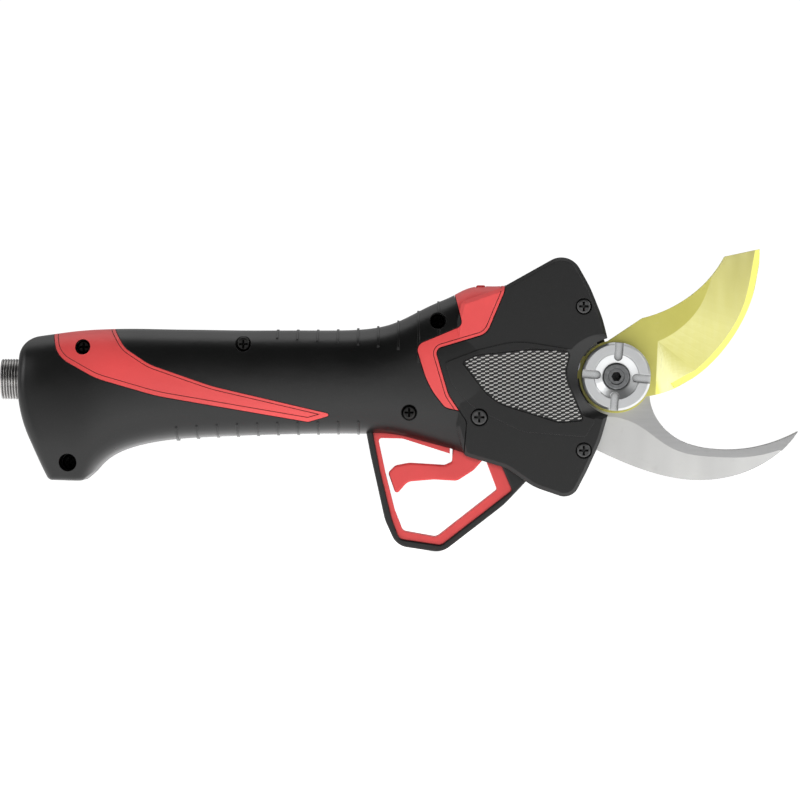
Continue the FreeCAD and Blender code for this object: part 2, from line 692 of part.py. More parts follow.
def link_plates():
    a = math.radians(LINK_DEG)
    far = (CRANK_PIN[0] - LINK_LENGTH * math.cos(a), CRANK_PIN[1] - LINK_LENGTH * math.sin(a))
    out = []
    for y0, y1 in LINK_Y:
        bar = capsule(CRANK_PIN, far, 3.4, y0, y1).fuse(rod_y(5.0, far[0], far[1], y0, y1))
        bar = bar.fuse(rod_y(4.0, CRANK_PIN[0], CRANK_PIN[1], y0, y1))
        bar = bar.cut(rod_y(OPEN_EYE_R, far[0], far[1], y0 - 1, y1 + 1))
        hole = rod_y(CRANK_PIN_R + FIT, CRANK_PIN[0], CRANK_PIN[1], y0 - 1, y1 + 1)
        out.append(bar.cut(hole))
    return out


def push_rod():
    rod = turned_x([
        (ROD[0], 6.0), (ROD[0], ROD_R), (ROD[1] - 1, ROD_R), (ROD[1], ROD_R - 1), (ROD[1], 0),
        (-68.0, 0), (-68.0, 4.6), (-84.0, 4.6), (-84.0, 6.0),
    ], AXIS_Z)
    lug = capsule((ROD[1] - 1.5, AXIS_Z), (CLEVIS_X, AXIS_Z), 4.4, *BLADE_Y)
    lug = lug.cut(rod_x(ROD_R - 0.5, -84, -66.6))
    rod = rod.fuse(lug)
    return rod.cut(rod_y(CLEVIS_PIN_R, CLEVIS_X, AXIS_Z, -8, 2))


def gear_outline(teeth, pitch_r, rise, drop, half_width, flare):
    """Closed tooth outline in the YZ plane about the drive line."""
    points = []
    for i in range(teeth):
        a = 2 * math.pi * i / teeth
        for r, w in ((pitch_r - drop, -half_width - flare), (pitch_r + rise, -half_width + flare),
                     (pitch_r + rise, half_width - flare), (pitch_r - drop, half_width + flare)):
            b = a + w / r
            points.append(V(0, r * math.cos(b), r * math.sin(b)))
    return Part.makePolygon(points + [points[0]])


def gear(teeth, rise, drop, half_width, flare, x0, x1):
    pitch_r = MODULE * teeth / 2
    face = Part.Face(gear_outline(teeth, pitch_r, rise, drop, half_width, flare))
    body = face.extrude(V(x1 - x0, 0, 0))
    body.translate(V(x0, 0, AXIS_Z))
    return body


def planet_spots():
    spots = []
    for i in range(3):
        a = math.radians(90 + 120 * i)
        spots.append((PLANET_ORBIT * math.cos(a), PLANET_ORBIT * math.sin(a)))
    return spots


def gear_train():
    x0, x1 = GEARS
    sun = gear(SUN_TEETH, 0.35, 0.5, 0.30, 0.12, x0, x1)
    save("sun_gear", sun.cut(rod_x(2.0, x0 - 1, x1 + 1)))
    for i, (y, z) in enumerate(planet_spots()):
        planet = gear(PLANET_TEETH, 0.35, 0.5, 0.30, 0.12, x0, x1)
        planet = planet.cut(rod_x(1.5 + FIT, x0 - 1, x1 + 1))
        planet.translate(V(0, y, z))
        save("planet_gear_%d" % (i + 1), planet)
    case = rod_x(GEARBOX_R, *GEARBOX)
    spaces = gear(RING_TEETH, 0.5, 0.35, 0.48, 0.12, x0 - 0.5, x1 + 0.5)
    spaces.rotate(V(0, 0, AXIS_Z), V(1, 0, 0), 180 / RING_TEETH)
    case = case.cut(spaces)
    case = case.cut(rod_x(2.6, GEARBOX[0] - 1, x0))
    case = case.cut(rod_x(12.6, x1 + 0.4, -112.0))
    case = case.cut(rod_x(9.0, -113.0, GEARBOX[1] + 1))
    save("ring_gear_case", case)
    carrier = rod_x(11.3, x1 + 0.6, x1 + 4.0)
    for y, z in planet_spots():
        carrier = carrier.fuse(rod_x(1.5, x0 + 0.4, x1 + 2, y, AXIS_Z + z))
    save("planet_carrier", carrier.cut(rod_x(SCREW_R, x1, x1 + 6)))
    screw = rod_x(SCREW_R, x1 + 0.6, SCREW_END)
    screw = screw.fuse(rod_x(5.0, x1 + 4.0, -112.0))
    save("ball_screw", screw)
    save("screw_bearing", tube_x(9.0, SCREW_R + FIT, -111.9, GEARBOX[1]))


def motor():
    x0, x1 = MOTOR
    save("motor_can", tube_x(MOTOR_R, 12.9, x0, x1))
    caps = []
    for a, b in ((x0, x0 + 2.5), (x1 - 2.5, x1)):
        caps.append(tube_x(12.9, 2.0 + FIT, a, b))
    save("motor_caps", *caps)
    core = tube_x(12.9, 7.4, x0 + 7, x1 - 7)
    coils = []
    for i in range(6):
        slot = box(x0 + 4, x1 - 4, 8.3, 11.6, -1.9, 1.9)
        slot.translate(V(0, 0, AXIS_Z))
        slot.rotate(V(0, 0, AXIS_Z), V(1, 0, 0), 60 * i)
        core = core.cut(slot)
        coils.append(slot)
    save("stator_core", core)
    save("stator_coils", *coils)
    shaft = rod_x(2.0, x0 - 1.5, GEARS[1])
    save("rotor_core", shaft.fuse(rod_x(5.4, x0 + 7, x1 - 7)))
    save("rotor_magnets", tube_x(6.9, 5.4, x0 + 7.5, x1 - 7.5))


def drive_line():
    save("link_plates", *link_plates())
    save("push_rod", push_rod())
    save("ball_nut", tube_x(6.0, SCREW_R + FIT, ROD[0], -84.0))
    save("clevis_pin", rod_y(CLEVIS_PIN_R, CLEVIS_X, AXIS_Z, LINK_Y[0][0], LINK_Y[1][1]))
    save("rod_guide_bush", tube_x(10.0, ROD_R + FIT, -91.0, -81.0))
    gear_train()
    motor()


# ---------------------------------------------------------------- connector and controls

def connector():
    profile = [(PLUG_START + PLUG_DEPTH, PLUG_BORE), (PLUG_START, PLUG_BORE)]
    profile += [(PLUG_START, PLUG_R - 0.4), (PLUG_START + 0.4, PLUG_R)]
    for i in range(7):
        x = PLUG_START + 0.5 + i
        profile += [(x, PLUG_R), (x + 0.35, PLUG_R - 0.4), (x + 0.7, PLUG_R)]
    profile += [(-205.5, PLUG_R), (-205.5, 5.6), (PLUG_START + PLUG_DEPTH, 5.6)]
    save("connector_shell", turned_x(profile, PLUG_Z))
    insert = rod_x(5.55, PLUG_START + PLUG_DEPTH, -206.0, z=PLUG_Z)
    contacts = []
    for i in range(4):
        a = math.radians(45 + 90 * i)
        y = 3.1 * math.cos(a)
        z = PLUG_Z + 3.1 * math.sin(a)
        insert = insert.cut(rod_x(1.0, -216, -205, y, z))
        tube = rod_x(1.0, PLUG_START + PLUG_DEPTH, -204.6, y, z)
        contacts.append(tube.cut(rod_x(0.6, -216, -209, y, z)))
    save("connector_insert", insert)
    save("connector_contacts", *contacts)
    save("connector_locknut", tube_x(8.9, PLUG_R + 0.02, -211.3, -208.3, z=PLUG_Z))


def electronics(inner):
    board = box(-203, -187, 3.0, 4.6, -26, 6)
    save("control_board", board)
    parts = []
    for x, z in ((-199.0, -6.0), (-191.0, -6.0)):
        parts.append(rod_y(3.2, x, z, -7.0, 2.95))
    parts.append(box(-201, -196, 1.6, 2.95, -20, -15))
    parts.append(box(-194, -189, 1.9, 2.95, -21, -14))
    parts.append(box(-57, -53, -2, 2, -19.6, -18.4))
    save("board_parts", *parts)
    leads = []
    for i, z in enumerate((1.5, -3.5)):
        leads.append(rod_between(V(-203.8, 2.2, z), V(-203.8, 3.6, z + 1.5), 0.6))
    for i in range(3):
        z = -6.0 + 3.7 * i
        leads.append(rod_between(V(-186.2, 3.8, z), V(-184.7, 6.6, z), 0.6))
    save("inner_leads", *leads)
    tray = box(-57.0, -43.0, -14, 14, 17.8, 18.8)
    save("switch_board", tray.common(inner))
    switch = box(-52.0, -46.0, -3.0, 3.0, 18.8, 22.2)
    save("button_switch", switch.fuse(Part.makeCylinder(1.5, 1.0, V(-48.9, 0, 22.1))))


def mode_button():
    button = box(-50.6, -47.2, -3.5, 3.5, 24.2, 33.3)
    edges = [e for e in button.Edges if e.CenterOfMass.z > 25]
    return button.makeFillet(0.7, edges)


def trigger_parts():
    x, z = TRIGGER_PIVOT
    lever = plate(TRIGGER, -5.5, 5.5)
    edges = [e for e in lever.Edges if abs(abs(e.CenterOfMass.y) - 5.5) < 1e-3
             and e.CenterOfMass.z < -31.0 and e.Length > 1.5]
    try:
        lever = lever.makeFillet(0.8, edges)
    except Part.OCCError:
        print("trigger left without rounding")
    lever = lever.cut(rod_y(1.5 + FIT, x, z, -8, 8))
    lever = lever.cut(rod_y(1.6, -55.0, -26.5, -2, 2))
    lever = lever.cut(rod_y(3.1, x, z, 3.2, 6))
    save("trigger", lever)
    save("trigger_magnet", rod_y(1.6, -55.0, -26.5, -2, 2))
    save("trigger_pin", rod_y(1.5, x, z, -12, 12))
    rings = []
    for i in range(3):
        ring = rod_y(2.9, x, z, 3.4 + 0.7 * i, 3.9 + 0.7 * i)
        rings.append(ring.cut(rod_y(1.9, x, z, 3, 9)))
    save("trigger_spring", *rings)


def main():
    os.makedirs("parts", exist_ok=True)
    parts = housing()
    handle_halves(parts)
    trims(parts)
    head_covers(parts)
    badges()
    guards(parts)
    screws()
    cutting_head()
    drive_line()
    connector()
    electronics(parts["inner"])
    save("mode_button", mode_button())
    trigger_parts()


main()
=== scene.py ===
import bmesh
import bpy
import math
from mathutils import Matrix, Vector
from mathutils.bvhtree import BVHTree


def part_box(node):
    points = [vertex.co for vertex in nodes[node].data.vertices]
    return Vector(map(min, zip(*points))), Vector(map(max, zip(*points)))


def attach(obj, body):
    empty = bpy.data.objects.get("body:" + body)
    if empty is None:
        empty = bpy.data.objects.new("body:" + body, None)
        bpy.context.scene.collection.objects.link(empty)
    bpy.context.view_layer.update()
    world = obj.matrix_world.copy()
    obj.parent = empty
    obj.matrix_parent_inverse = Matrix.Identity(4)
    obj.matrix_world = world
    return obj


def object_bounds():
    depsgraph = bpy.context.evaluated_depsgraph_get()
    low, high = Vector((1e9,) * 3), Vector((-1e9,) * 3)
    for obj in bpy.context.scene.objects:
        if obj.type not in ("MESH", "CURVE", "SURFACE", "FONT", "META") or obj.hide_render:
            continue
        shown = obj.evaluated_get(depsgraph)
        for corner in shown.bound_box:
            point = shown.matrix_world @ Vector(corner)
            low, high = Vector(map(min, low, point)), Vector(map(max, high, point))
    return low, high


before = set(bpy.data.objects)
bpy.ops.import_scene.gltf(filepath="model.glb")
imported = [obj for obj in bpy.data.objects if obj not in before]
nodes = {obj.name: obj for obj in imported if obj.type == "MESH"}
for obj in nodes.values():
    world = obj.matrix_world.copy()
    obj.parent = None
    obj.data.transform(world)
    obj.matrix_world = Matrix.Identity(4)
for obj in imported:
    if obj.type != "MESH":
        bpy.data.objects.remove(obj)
cad_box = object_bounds()
MM = 0.001

# Woven badge mesh, in mm.
PITCH_X = 3.04
PITCH_Z = 0.71
BADGE_START = (-59.0, -18.0)     # X and Z of the first strand
BADGE_HEIGHT = 28
BADGE_COLUMNS = 17
STRAND_HALF_Z = 0.30
STRAND_RISE = 0.16
STRAND_SLANT = 0.09
STRAND_STEPS = 19                # places tried along one strand
STRAND_STEP = 0.1

# Dark strip behind the seam of the head covers, painted shade for the joint, in mm.
SEAM_LINE = (
    (-41.2, 28.6), (-42.2, 26.3), (-46.2, 16.8), (-48.4, 14.6), (-63.6, 10.1), (-64.9, 8.2),
    (-61.2, -5.2), (-59.8, -8.0), (-54.6, -15.6), (-55.0, -24.6),
)
SHADE_STRIP_HALF = 1.5
SHADE_STRIP_Y = (11.9, 11.2)

# Stage, camera and lamps, in metres and watts.
FLOOR_HALF = 6.0
FLOOR_DROP = 0.0003
BACKDROP_STRENGTH = 1.05
CAMERA_PLACE = (-0.0783, -1.3, -0.0085)
CAMERA_LENS = 160.3              # mm on a 36 mm sensor
KEY_LIGHTS = (
    ("left_key", (-0.95, -0.5, 0.5), (-0.08, 0, 0), 2.5),
    ("right_key", (0.75, -0.5, 0.5), (-0.04, 0, 0), 3.1),
)
KEY_SIZE = 0.5


# ------------------------------------------------------------------ node helpers

class Tree:
    """A material's node tree with short calls for adding and linking nodes."""

    def __init__(self, name):
        self.mat = bpy.data.materials.new(name)
        self.mat.use_nodes = True
        self.nt = self.mat.node_tree
        self.nt.nodes.clear()
        self.out = self.add("ShaderNodeOutputMaterial")
        self.bsdf = self.add("ShaderNodeBsdfPrincipled")
        self.link(self.bsdf.outputs[0], self.out.inputs[0])
        self.coord = self.add("ShaderNodeTexCoord").outputs["Object"]

    def add(self, kind, **values):
        node = self.nt.nodes.new(kind)
        for key, value in values.items():
            setattr(node, key, value)
        return node

    def link(self, a, b):
        self.nt.links.new(a, b)

    def scaled(self, scale, turn=(0, 0, 0)):
        node = self.add("ShaderNodeMapping")
        node.inputs["Scale"].default_value = scale
        node.inputs["Rotation"].default_value = turn
        self.link(self.coord, node.inputs["Vector"])
        return node.outputs[0]

    def noise(self, scale, detail=3.0, rough=0.55, vector=None):
        node = self.add("ShaderNodeTexNoise")
        node.inputs["Scale"].default_value = scale
        node.inputs["Detail"].default_value = detail
        node.inputs["Roughness"].default_value = rough
        self.link(vector or self.coord, node.inputs["Vector"])
        return node.outputs["Fac"]

    def cells(self, scale, vector=None, feature="F1"):
        node = self.add("ShaderNodeTexVoronoi", feature=feature)
        node.inputs["Scale"].default_value = scale
        self.link(vector or self.coord, node.inputs["Vector"])
        return node.outputs["Distance"]

    def ramp(self, fac, *stops):
        node = self.add("ShaderNodeValToRGB")
        ramp = node.color_ramp
        while len(ramp.elements) < len(stops):
            ramp.elements.new(0.5)
        for element, (place, colour) in zip(ramp.elements, stops):
            element.position = place
            value = colour if isinstance(colour, tuple) else (colour,) * 3
            element.color = (*value, 1)
        self.link(fac, node.inputs[0])
        return node.outputs[0]

    def maths(self, kind, a, b=0.0):
        node = self.add("ShaderNodeMath", operation=kind)
        for socket, value in ((node.inputs[0], a), (node.inputs[1], b)):
            if isinstance(value, (int, float)):
                socket.default_value = value
            else:
                self.link(value, socket)
        return node.outputs[0]

    def mix(self, fac, a, b, blend="MIX"):
        node = self.add("ShaderNodeMix", data_type="RGBA", blend_type=blend)
        for socket, value in ((node.inputs[0], fac), (node.inputs[6], a), (node.inputs[7], b)):
            if isinstance(value, (int, float)):
                socket.default_value = value
            elif isinstance(value, tuple):
                socket.default_value = (*value, 1)
            else:
                self.link(value, socket)
        return node.outputs[2]

    def bump(self, height, distance, strength=1.0, normal=None):
        node = self.add("ShaderNodeBump")
        node.inputs["Distance"].default_value = distance
        node.inputs["Strength"].default_value = strength
        self.link(height, node.inputs["Height"])
        if normal is not None:
            self.link(normal, node.inputs["Normal"])
        return node.outputs[0]

    def soft_edge(self, radius):
        node = self.add("ShaderNodeBevel", samples=4)
        node.inputs["Radius"].default_value = radius
        return node.outputs[0]

    def edge_mask(self, radius=0.0007):
        """Near 1 along sharp edges and 0 on open faces."""
        rounded = self.soft_edge(radius)
        true = self.add("ShaderNodeNewGeometry").outputs["Normal"]
        dot = self.add("ShaderNodeVectorMath", operation="DOT_PRODUCT")
        self.link(rounded, dot.inputs[0])
        self.link(true, dot.inputs[1])
        return self.ramp(dot.outputs["Value"], (0.86, 1.0), (0.995, 0.0))

    def side_facing(self, low, high):
        """1 where the surface faces straight out of the tool's sides, 0 where it slopes."""
        node = self.add("ShaderNodeSeparateXYZ")
        self.link(self.add("ShaderNodeNewGeometry").outputs["True Normal"], node.inputs[0])
        size = self.maths("ABSOLUTE", node.outputs[1])
        return self.ramp(size, (low, 0.0), (high, 1.0))

    def shade(self, reach, darkest=0.1, low=0.3, high=0.8):
        """Painted shade: a factor of 1 in the open, falling to `darkest` deep in recesses and seams."""
        node = self.add("ShaderNodeAmbientOcclusion", samples=6)
        node.inputs["Distance"].default_value = reach
        return self.ramp(node.outputs["AO"], (low, darkest), (high, 1.0))

    def set(self, **values):
        for key, value in values.items():
            socket = self.bsdf.inputs[key.replace("_", " ")]
            if isinstance(value, tuple):
                socket.default_value = (*value, 1)
            elif isinstance(value, (int, float)):
                socket.default_value = value
            else:
                self.link(value, socket)


def moulded_plastic(name, colour, light, rough, grain=0.00001, specular=0.35, wear=0.25):
    """Injection-moulded plastic: spark-eroded grain, faint handling shine, pale rubbed edges, painted shade
    in recesses and seams.
    """
    t = Tree(name)
    cloud = t.noise(38, 4)
    colour_out = t.mix(t.ramp(cloud, (0.35, 0.0), (0.7, 1.0)), colour,
                       tuple(c * 1.12 for c in colour))
    speck = t.ramp(t.noise(2600, 2), (0.6, 0.0), (0.78, 0.12))
    colour_out = t.mix(speck, colour_out, light)
    patches = t.ramp(t.noise(220, 5), (0.45, 0.0), (0.7, wear))
    rubbed = t.maths("MULTIPLY", t.edge_mask(0.0005), patches)
    colour_out = t.mix(rubbed, colour_out, light)
    # painted shade: ambient occlusion darkens the colour in recesses and seams
    colour_out = t.mix(1.0, colour_out, t.shade(0.0025), "MULTIPLY")
    shine = t.ramp(t.noise(26, 5), (0.3, rough + 0.07), (0.7, rough - 0.06))
    grain_height = t.mix(0.5, t.noise(3400, 2), t.cells(2300))
    t.set(Base_Color=colour_out, Roughness=shine, Specular_IOR_Level=specular,
          Normal=t.bump(grain_height, grain, 0.9, t.soft_edge(0.0003)))
    return t.mat


def metal(name, colour, rough, brushed=(1, 1, 1), dark=None, scratch=0.3, spots=0.0,
          recess_shade=(0.0015, 0.3, 0.8)):
    """Metal with a machined grain, fine scratches, slightly duller patches and painted shade in recesses and
    seams.
    """
    t = Tree(name)
    dark = dark or tuple(c * 0.72 for c in colour)
    grain = t.noise(900, 4, 0.6, t.scaled(brushed))
    patches = t.noise(90, 5)
    colour_out = t.mix(t.ramp(grain, (0.35, 0.0), (0.7, 1.0)), dark, colour)
    colour_out = t.mix(t.ramp(patches, (0.42, 0.0), (0.75, scratch)), colour_out, dark)
    if spots:
        stain = t.ramp(t.noise(420, 6), (0.62, 0.0), (0.72, spots))
        colour_out = t.mix(stain, colour_out, tuple(c * 0.4 for c in colour))
    # painted shade: ambient occlusion darkens the colour in recesses and seams
    colour_out = t.mix(1.0, colour_out, t.shade(recess_shade[0], 0.01, recess_shade[1], recess_shade[2]), "MULTIPLY")
    shine = t.ramp(grain, (0.3, rough + 0.1), (0.7, rough - 0.05))
    t.set(Base_Color=colour_out, Metallic=1.0, Roughness=shine,
          Normal=t.bump(grain, 0.000012, 0.8, t.soft_edge(0.00025)))
    return t.mat


def coated_blade():
    """Yellow coated flats; polished bevels with a pale painted highlight and soft olive bands of painted
    reflection; a brighter yellow painted highlight on the steep edge faces; bright metal at the edge.
    """
    t = Tree("blade_coat")
    flat = t.side_facing(0.975, 0.992)
    edge = t.side_facing(0.80, 0.90)
    cloud = t.noise(60, 4)
    coat = t.mix(t.ramp(cloud, (0.35, 0.0), (0.7, 1.0)), (0.62, 0.58, 0.12), (0.68, 0.64, 0.15))
    fine = t.noise(700, 2, 0.5, t.scaled((1, 1, 0.1), (0, math.radians(25), 0)))
    # painted highlight: the bevels get a pale copy of the coat yellow
    bevel_painted_light = t.mix(t.ramp(fine, (0.3, 0.0), (0.7, 1.0)), (0.98, 0.95, 0.44), (1.0, 0.98, 0.50))
    # painted reflection: soft olive bands across the bevels, growing stronger from 18 mm to 46 mm up the
    # blade
    spot = t.add("ShaderNodeSeparateXYZ")
    t.link(t.coord, spot.inputs[0])
    height = t.add("ShaderNodeMapRange")
    height.inputs["From Min"].default_value = 0.018
    height.inputs["From Max"].default_value = 0.046
    t.link(spot.outputs[2], height.inputs["Value"])
    wave = t.noise(42, 1, 0.4, t.scaled((2.6, 1, 0.5), (0, math.radians(-20), 0)))
    reflection_band = t.maths("MULTIPLY", t.ramp(wave, (0.38, 0.1), (0.62, 1.0)), height.outputs[0])
    bevel_painted_light = t.mix(t.maths("MULTIPLY", reflection_band, 0.95), bevel_painted_light, (0.38, 0.34, 0.13))
    # painted highlight: the steep edge faces get a brighter copy of the coat yellow
    colour = t.mix(edge, (0.93, 0.90, 0.17), bevel_painted_light)
    colour = t.mix(flat, colour, coat)
    scrape = t.ramp(t.noise(700, 6, 0.6, t.scaled((0.25, 1, 1), (0, math.radians(-30), 0))),
                    (0.68, 0.0), (0.76, 0.25))
    colour = t.mix(scrape, colour, (0.72, 0.71, 0.5))
    steel = t.maths("MULTIPLY", t.edge_mask(0.0003), t.ramp(t.noise(300, 4), (0.45, 0.0), (0.7, 0.6)))
    colour = t.mix(steel, colour, (0.80, 0.80, 0.66))
    shine = t.mix(flat, t.ramp(fine, (0.3, 0.32), (0.7, 0.26)), t.ramp(cloud, (0.3, 0.46), (0.7, 0.36)))
    t.set(Base_Color=colour, Metallic=0.2, Roughness=shine, Coat_Weight=0.25,
          Coat_Roughness=0.2, Normal=t.bump(fine, 0.000005, 0.5, t.soft_edge(0.0003)))
    return t.mat


def ground_hook():
    """Plain steel: darker ground land along the edge, paler blasted relief behind it."""
    t = Tree("hook_steel")
    flat = t.side_facing(0.985, 0.997)
    lines = t.noise(900, 3, 0.5, t.scaled((0.06, 1, 1)))
    tone = t.noise(45, 2, 0.4, t.scaled((1.6, 1, 0.4)))
    land = t.mix(t.ramp(lines, (0.3, 0.0), (0.7, 1.0)), (0.45, 0.45, 0.45), (0.48, 0.48, 0.48))
    blasted = t.mix(t.ramp(tone, (0.35, 0.0), (0.65, 1.0)), (0.49, 0.49, 0.485), (0.54, 0.54, 0.53))
    colour = t.mix(flat, blasted, land)
    stain = t.ramp(t.noise(240, 6), (0.62, 0.0), (0.78, 0.12))
    colour = t.mix(stain, colour, (0.25, 0.24, 0.22))
    shine = t.mix(flat, t.ramp(tone, (0.3, 0.52), (0.7, 0.44)), t.ramp(lines, (0.3, 0.38), (0.7, 0.32)))
    t.set(Base_Color=colour, Metallic=0.9, Roughness=shine,
          Normal=t.bump(lines, 0.000004, 0.6, t.soft_edge(0.0003)))
    return t.mat


def turned_nut():
    """Satin plated steel with fine turning rings about the pivot and painted shade in its slots and
    recesses.
    """
    t = Tree("nut_steel")
    parts = t.add("ShaderNodeSeparateXYZ")
    t.link(t.coord, parts.inputs[0])
    square = t.maths("ADD", t.maths("POWER", parts.outputs[0], 2.0), t.maths("POWER", parts.outputs[2], 2.0))
    radius = t.maths("SQRT", square)
    rings = t.maths("SINE", t.maths("MULTIPLY", radius, 16000.0))
    ring_noise = t.noise(120, 2)
    height = t.mix(0.3, rings, ring_noise)
    cloud = t.ramp(t.noise(160, 5), (0.35, 0.0), (0.7, 1.0))
    colour = t.mix(cloud, (0.66, 0.67, 0.675), (0.70, 0.71, 0.715))
    # painted shade: ambient occlusion darkens the colour in the slots and recesses
    colour = t.mix(1.0, colour, t.shade(0.002, 0.05), "MULTIPLY")
    t.set(Base_Color=colour, Metallic=0.92, Roughness=t.ramp(ring_noise, (0.3, 0.38), (0.7, 0.3)),
          Normal=t.bump(height, 0.000002, 0.5, t.soft_edge(0.00035)))
    return t.mat


def soft_matte(name, colour):
    t = Tree(name)
    t.set(Base_Color=t.mix(t.noise(300), colour, tuple(c * 1.4 for c in colour)), Roughness=0.6,
          Normal=t.bump(t.noise(2000), 0.00003))
    return t.mat


def board():
    """Green solder mask with paler tracks and tinned pads."""
    t = Tree("circuit_board")
    tracks = t.ramp(t.cells(260, feature="DISTANCE_TO_EDGE"), (0.05, 1.0), (0.09, 0.0))
    pads = t.ramp(t.cells(420), (0.16, 1.0), (0.2, 0.0))
    colour = t.mix(tracks, (0.01, 0.12, 0.045), (0.03, 0.22, 0.09))
    colour = t.mix(pads, colour, (0.7, 0.7, 0.66))
    t.set(Base_Color=colour, Roughness=0.3, Normal=t.bump(tracks, 0.00004))
    return t.mat


# ------------------------------------------------------------------ materials on the CAD nodes

BLACK = (0.0042, 0.0043, 0.0042)
black = moulded_plastic("housing_black", BLACK, (0.08, 0.08, 0.082), 0.33, specular=0.5, wear=0.06)
guard_black = moulded_plastic("guard_black", (0.0065, 0.0065, 0.0065), (0.10, 0.10, 0.105), 0.36,
                              specular=0.5)
red = moulded_plastic("trim_red", (0.80, 0.08, 0.08), (0.85, 0.25, 0.25), 0.42, specular=0.4, wear=0.1)
button_red = moulded_plastic("button_red", (0.60, 0.035, 0.04), (0.8, 0.2, 0.2), 0.42, specular=0.35)
steel = metal("bright_steel", (0.66, 0.66, 0.68), 0.3)
# painted shade with a long reach darkens the black screws' cross recesses
screw_black = metal("screw_black", (0.05, 0.048, 0.046), 0.4, dark=(0.03, 0.03, 0.03),
                    recess_shade=(0.008, 0.2, 0.5))
screw_grey = metal("screw_grey", (0.12, 0.12, 0.12), 0.38, dark=(0.08, 0.08, 0.08), spots=0.3)
plated = metal("plated_connector", (0.55, 0.54, 0.53), 0.28, (0.05, 1, 1), spots=0.25)
# painted shade darkens the pivot bolt's recesses
dark_steel = metal("dark_steel", (0.24, 0.245, 0.25), 0.34, scratch=0.1, recess_shade=(0.003, 0.3, 0.7))
alloy = metal("cast_alloy", (0.62, 0.62, 0.64), 0.45)
copper = metal("copper_wire", (0.78, 0.36, 0.17), 0.3, (0.03, 1, 1))
bronze = metal("bronze", (0.66, 0.45, 0.2), 0.35)
brass = metal("gold_contact", (0.85, 0.62, 0.25), 0.25)
magnet = metal("magnet", (0.16, 0.16, 0.17), 0.3)
insulator = moulded_plastic("insulator", (0.02, 0.02, 0.02), (0.1, 0.1, 0.1), 0.5)
part_black = moulded_plastic("part_black", (0.018, 0.018, 0.018), (0.1, 0.1, 0.1), 0.45)
lead_red = soft_matte("lead_red", (0.35, 0.03, 0.03))
# painted shade: near-black for the strip behind the head covers' seams
seam_shade_black = soft_matte("seam_shade_black", (0.004, 0.004, 0.004))
pcb = board()

LOOKS = {
    black: ["left_handle_shell", "right_handle_shell", "left_head_cover", "right_head_cover"],
    guard_black: ["trigger_guard"],
    red: ["left_collar_trim", "right_collar_trim", "left_side_flash", "right_side_flash",
          "guard_liner", "trigger"],
    button_red: ["mode_button"],
    screw_black: ["handle_screws"],
    screw_grey: ["left_cover_screws", "right_cover_screws", "hook_screws"],
    plated: ["connector_shell", "connector_locknut"],
    insulator: ["connector_insert"],
    brass: ["connector_contacts"],
    steel: ["motor_can", "stator_core", "rotor_core", "ring_gear_case", "screw_bearing", "ball_nut",
            "ball_screw", "planet_carrier", "push_rod", "clevis_pin", "crank_pin", "trigger_pin",
            "link_plates", "trigger_spring", "sun_gear", "planet_gear_1", "planet_gear_2",
            "planet_gear_3", "thrust_washer"],
    alloy: ["motor_caps", "head_frame"],
    copper: ["stator_coils"],
    bronze: ["rod_guide_bush", "blade_bush"],
    coated_blade(): ["cutting_blade"],
    ground_hook(): ["fixed_hook"],
    turned_nut(): ["pivot_nut"],
    dark_steel: ["pivot_bolt"],
    pcb: ["control_board", "switch_board"],
    part_black: ["board_parts", "button_switch"],
    lead_red: ["inner_leads"],
    magnet: ["rotor_magnets", "trigger_magnet"],
}


def dress_nodes():
    for material, names in LOOKS.items():
        for name in names:
            slots = nodes[name].data.materials
            slots.clear()
            slots.append(material)


# ------------------------------------------------------------------ mesh badge

def face_finder(node):
    """Test of whether a line along Y at X and Z, in mm, meets the node."""
    piece = nodes[node]
    points = [piece.matrix_world @ v.co for v in piece.data.vertices]
    tree = BVHTree.FromPolygons(points, [tuple(p.vertices) for p in piece.data.polygons])

    def covered(x, z):
        hit = tree.ray_cast(Vector((x, -100, z)) * MM, Vector((0, 1, 0)), 1.0)
        return hit[0] is not None
    return covered


def mesh_object(name, build, body, material):
    """Object built by `build` in a mesh workspace, riding on a body."""
    work = bmesh.new()
    build(work)
    mesh = bpy.data.meshes.new(name)
    work.to_mesh(mesh)
    work.free()
    piece = bpy.data.objects.new(name, mesh)
    bpy.context.scene.collection.objects.link(piece)
    mesh.materials.append(material)
    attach(piece, body)
    return piece


def lozenge(work, x, z, y, out, half_x, half_z, rise, slant):
    """One crowned strand of the woven badge mesh."""
    ring = []
    for u, v in ((-1, -0.35), (-0.55, -1), (0.55, -1), (1, -0.35),
                 (1, 0.35), (0.55, 1), (-0.55, 1), (-1, 0.35)):
        px = x + u * half_x
        pz = z + v * half_z + u * slant
        ring.append(work.verts.new(Vector((px, y, pz)) * MM))
    crown = []
    for u, v in ((-0.5, -0.45), (0.5, -0.45), (0.5, 0.45), (-0.5, 0.45)):
        px = x + u * half_x
        pz = z + v * half_z + u * slant
        crown.append(work.verts.new(Vector((px, y + out * rise, pz)) * MM))
    back = [work.verts.new(v.co - Vector((0, out * 0.25, 0)) * MM) for v in ring]
    top = [
        (ring[1], ring[2], crown[1], crown[0]), (ring[5], ring[6], crown[3], crown[2]),
        (ring[2], ring[3], crown[1]), (ring[3], ring[4], crown[2], crown[1]),
        (ring[4], ring[5], crown[2]), (ring[6], ring[7], crown[3]),
        (ring[7], ring[0], crown[0], crown[3]), (ring[0], ring[1], crown[0]),
        (crown[0], crown[1], crown[2], crown[3]),
    ]
    for face in top:
        work.faces.new(face)
    for i in range(8):
        j = (i + 1) % 8
        work.faces.new((ring[j], ring[i], back[i], back[j]))
    work.faces.new(list(reversed(back)))


